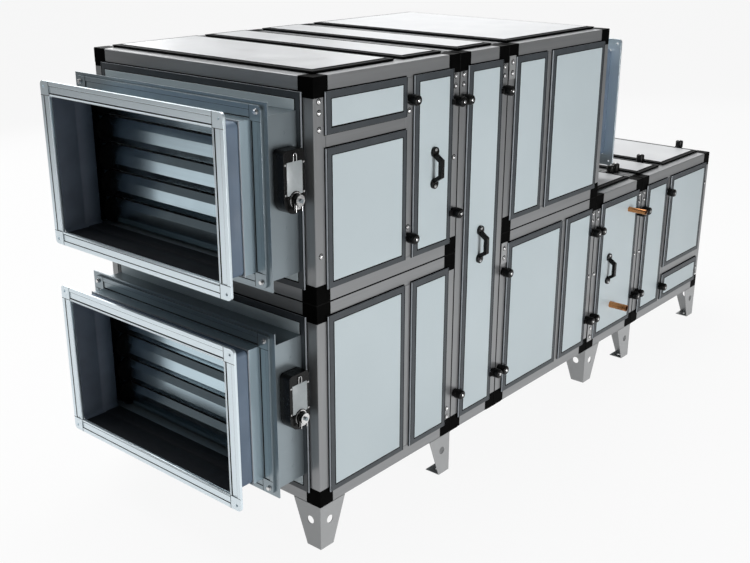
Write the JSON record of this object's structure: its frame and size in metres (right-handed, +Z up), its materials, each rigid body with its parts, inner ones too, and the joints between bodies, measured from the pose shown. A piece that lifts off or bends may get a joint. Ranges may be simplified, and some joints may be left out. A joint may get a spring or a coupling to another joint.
{
  "type": "air handling unit",
  "caption": "Two-tier ventilation unit of framed insulated sections on feet, with geared louvre dampers, actuators and flexible rectangular duct connectors.",
  "frame": {"origin": "middle of the footprint box, at floor level", "axes": "+X along the unit from the damper end to the outlet end, +Y from the service side to the back, +Z up"},
  "size_m": [3.224, 1.11, 1.53],
  "materials": {
    "frame_aluminium": "anodised, fine brushed",
    "corner_plastic": "moulded, fine grain",
    "panel_sheet": "coated sheet, satin",
    "zinc_sheet": "galvanised, soft spangle",
    "zinc_rail": "galvanised, bright",
    "sleeve_fabric": "coated woven cloth",
    "blade_aluminium": "extruded, fine lines",
    "clamp_steel": "plated",
    "actuator_plastic": "moulded, fine grain",
    "foot_sheet": "galvanised",
    "handle_plastic": "moulded, satin",
    "pipe_copper": "drawn copper"
  },
  "bodies": {
    "housing": {"intake_frame": "frame_aluminium", "intake_corners": "corner_plastic", "intake_panels": "panel_sheet", "exhaust_frame": "frame_aluminium", "exhaust_corners": "corner_plastic", "exhaust_panels": "panel_sheet", "rotor_frame": "frame_aluminium", "rotor_corners": "corner_plastic", "rotor_panels": "panel_sheet", "fan_frame": "frame_aluminium", "fan_corners": "corner_plastic", "fan_panels": "panel_sheet", "extract_frame": "frame_aluminium", "extract_corners": "corner_plastic", "extract_panels": "panel_sheet", "heater_frame": "frame_aluminium", "heater_corners": "corner_plastic", "heater_panels": "panel_sheet", "outlet_frame": "frame_aluminium", "outlet_corners": "corner_plastic", "outlet_panels": "panel_sheet", "mullions": "frame_aluminium", "cross_bars": "frame_aluminium", "deck_panels": "panel_sheet", "duct_end_panels": "panel_sheet", "damper_casings": "zinc_sheet", "duct_collars": "zinc_sheet", "damper_rails": "zinc_rail", "damper_rail_corners": "zinc_rail", "connector_strips": "zinc_sheet", "connector_sleeves": "sleeve_fabric", "duct_rails": "zinc_rail", "duct_rail_corners": "zinc_rail", "actuators": "actuator_plastic", "feet": "foot_sheet", "door_handles": "handle_plastic", "clamp_knobs": "handle_plastic", "heater_pipes": "pipe_copper", "joining_plates": "zinc_sheet"},
    "intake_blade_1": {"intake_blade_1": "blade_aluminium"},
    "intake_blade_2": {"intake_blade_2": "blade_aluminium"},
    "intake_blade_3": {"intake_blade_3": "blade_aluminium", "intake_shaft_clamp": "clamp_steel"},
    "intake_blade_4": {"intake_blade_4": "blade_aluminium"},
    "intake_blade_5": {"intake_blade_5": "blade_aluminium"},
    "exhaust_blade_1": {"exhaust_blade_1": "blade_aluminium"},
    "exhaust_blade_2": {"exhaust_blade_2": "blade_aluminium"},
    "exhaust_blade_3": {"exhaust_blade_3": "blade_aluminium", "exhaust_shaft_clamp": "clamp_steel"},
    "exhaust_blade_4": {"exhaust_blade_4": "blade_aluminium"},
    "exhaust_blade_5": {"exhaust_blade_5": "blade_aluminium"}
  },
  "joints": [
    {"name": "intake_blade_1_turn", "type": "hinge", "parent": "housing", "child": "intake_blade_1", "pos_m": [-1.409, 0.04, 0.316], "axis": [0, 1, 0], "range_deg": [0, 90]},
    {"name": "intake_blade_2_turn", "type": "hinge", "parent": "housing", "child": "intake_blade_2", "pos_m": [-1.409, 0.04, 0.408], "axis": [0, -1, 0], "range_deg": [0, 90]},
    {"name": "intake_blade_3_turn", "type": "hinge", "parent": "housing", "child": "intake_blade_3", "pos_m": [-1.409, 0.04, 0.5], "axis": [0, 1, 0], "range_deg": [0, 90]},
    {"name": "intake_blade_4_turn", "type": "hinge", "parent": "housing", "child": "intake_blade_4", "pos_m": [-1.409, 0.04, 0.592], "axis": [0, -1, 0], "range_deg": [0, 90]},
    {"name": "intake_blade_5_turn", "type": "hinge", "parent": "housing", "child": "intake_blade_5", "pos_m": [-1.409, 0.04, 0.684], "axis": [0, 1, 0], "range_deg": [0, 90]},
    {"name": "exhaust_blade_1_turn", "type": "hinge", "parent": "housing", "child": "exhaust_blade_1", "pos_m": [-1.409, 0.04, 0.9985], "axis": [0, 1, 0], "range_deg": [0, 90]},
    {"name": "exhaust_blade_2_turn", "type": "hinge", "parent": "housing", "child": "exhaust_blade_2", "pos_m": [-1.409, 0.04, 1.0905], "axis": [0, -1, 0], "range_deg": [0, 90]},
    {"name": "exhaust_blade_3_turn", "type": "hinge", "parent": "housing", "child": "exhaust_blade_3", "pos_m": [-1.409, 0.04, 1.1825], "axis": [0, 1, 0], "range_deg": [0, 90]},
    {"name": "exhaust_blade_4_turn", "type": "hinge", "parent": "housing", "child": "exhaust_blade_4", "pos_m": [-1.409, 0.04, 1.2745], "axis": [0, -1, 0], "range_deg": [0, 90]},
    {"name": "exhaust_blade_5_turn", "type": "hinge", "parent": "housing", "child": "exhaust_blade_5", "pos_m": [-1.409, 0.04, 1.3665], "axis": [0, 1, 0], "range_deg": [0, 90]}
  ],
  "couplings": [
    {"joint": "intake_blade_1_turn", "follows": "intake_blade_3_turn", "ratio": 1},
    {"joint": "intake_blade_2_turn", "follows": "intake_blade_3_turn", "ratio": 1},
    {"joint": "intake_blade_4_turn", "follows": "intake_blade_3_turn", "ratio": 1},
    {"joint": "intake_blade_5_turn", "follows": "intake_blade_3_turn", "ratio": 1},
    {"joint": "exhaust_blade_1_turn", "follows": "exhaust_blade_3_turn", "ratio": 1},
    {"joint": "exhaust_blade_2_turn", "follows": "exhaust_blade_3_turn", "ratio": 1},
    {"joint": "exhaust_blade_4_turn", "follows": "exhaust_blade_3_turn", "ratio": 1},
    {"joint": "exhaust_blade_5_turn", "follows": "exhaust_blade_3_turn", "ratio": 1}
  ]
}
